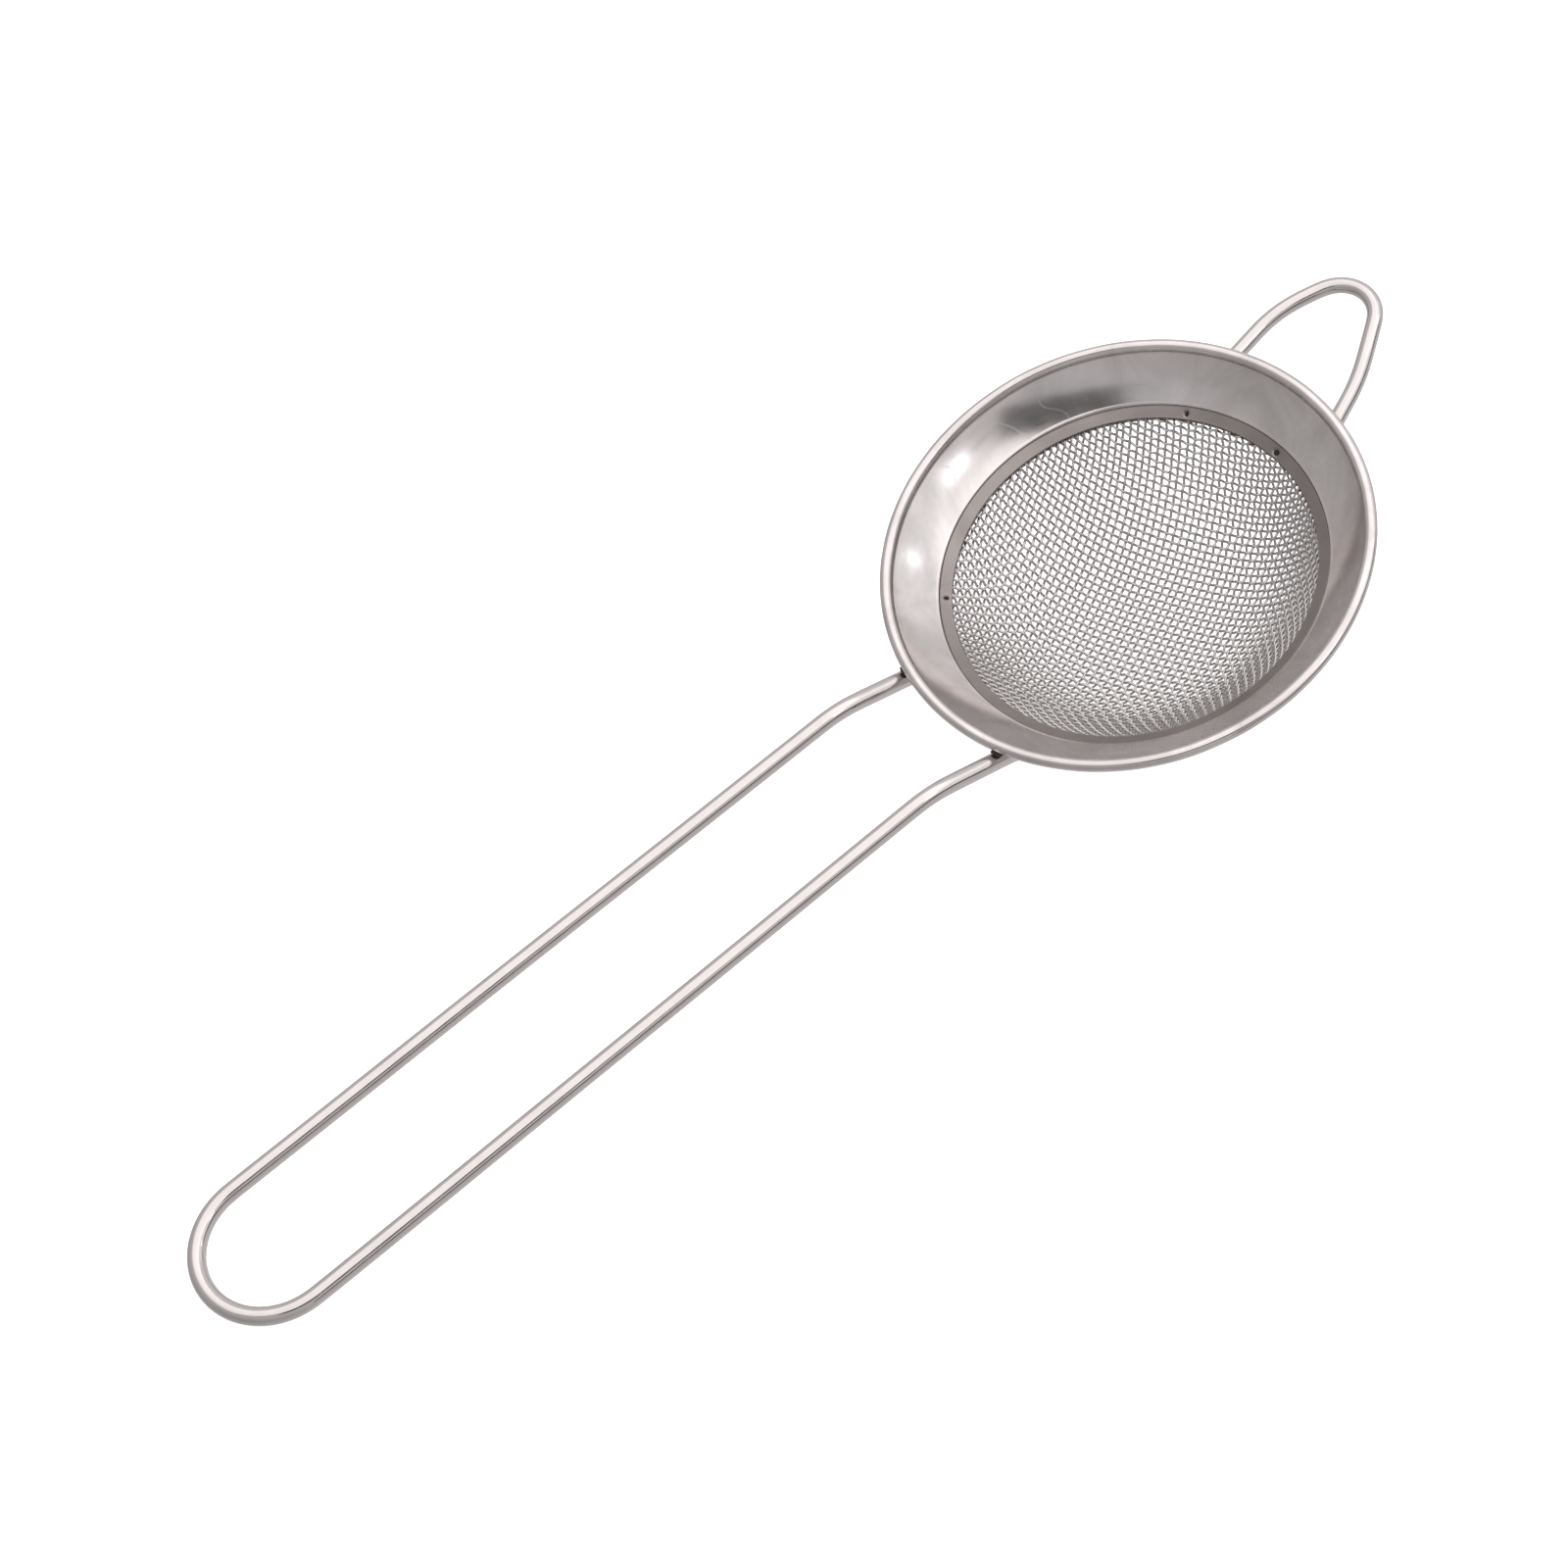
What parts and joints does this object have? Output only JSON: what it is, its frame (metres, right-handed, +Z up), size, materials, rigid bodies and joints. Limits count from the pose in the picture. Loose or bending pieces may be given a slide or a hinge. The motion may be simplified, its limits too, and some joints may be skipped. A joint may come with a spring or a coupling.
{
  "type": "tea strainer",
  "caption": "Round tea strainer with a woven wire bowl in a flared steel rim, a long wire loop handle and a small wire ear that rests on a cup.",
  "frame": {"origin": "centre of the footprint of the whole strainer, at table level", "axes": "+Z up from the table; +X from the handle toward the ear; the rim plane leans 14.3 degrees so that the end of the handle and the bottom of the bowl both touch the table"},
  "size_m": [0.227, 0.075, 0.0396],
  "materials": {
    "rim_flange": "satin polished pressed sheet steel",
    "clamp_ring": "satin pressed sheet steel, a little duller than the rim",
    "woven_bowl": "bright drawn steel wire, plain weave",
    "handle_wire": "polished drawn steel wire",
    "rest_ear_wire": "polished drawn steel wire"
  },
  "bodies": {
    "root": {"rim_flange": "rim_flange", "clamp_ring": "clamp_ring", "woven_bowl": "woven_bowl", "handle_wire": "handle_wire", "rest_ear_wire": "rest_ear_wire"}
  },
  "joints": []
}
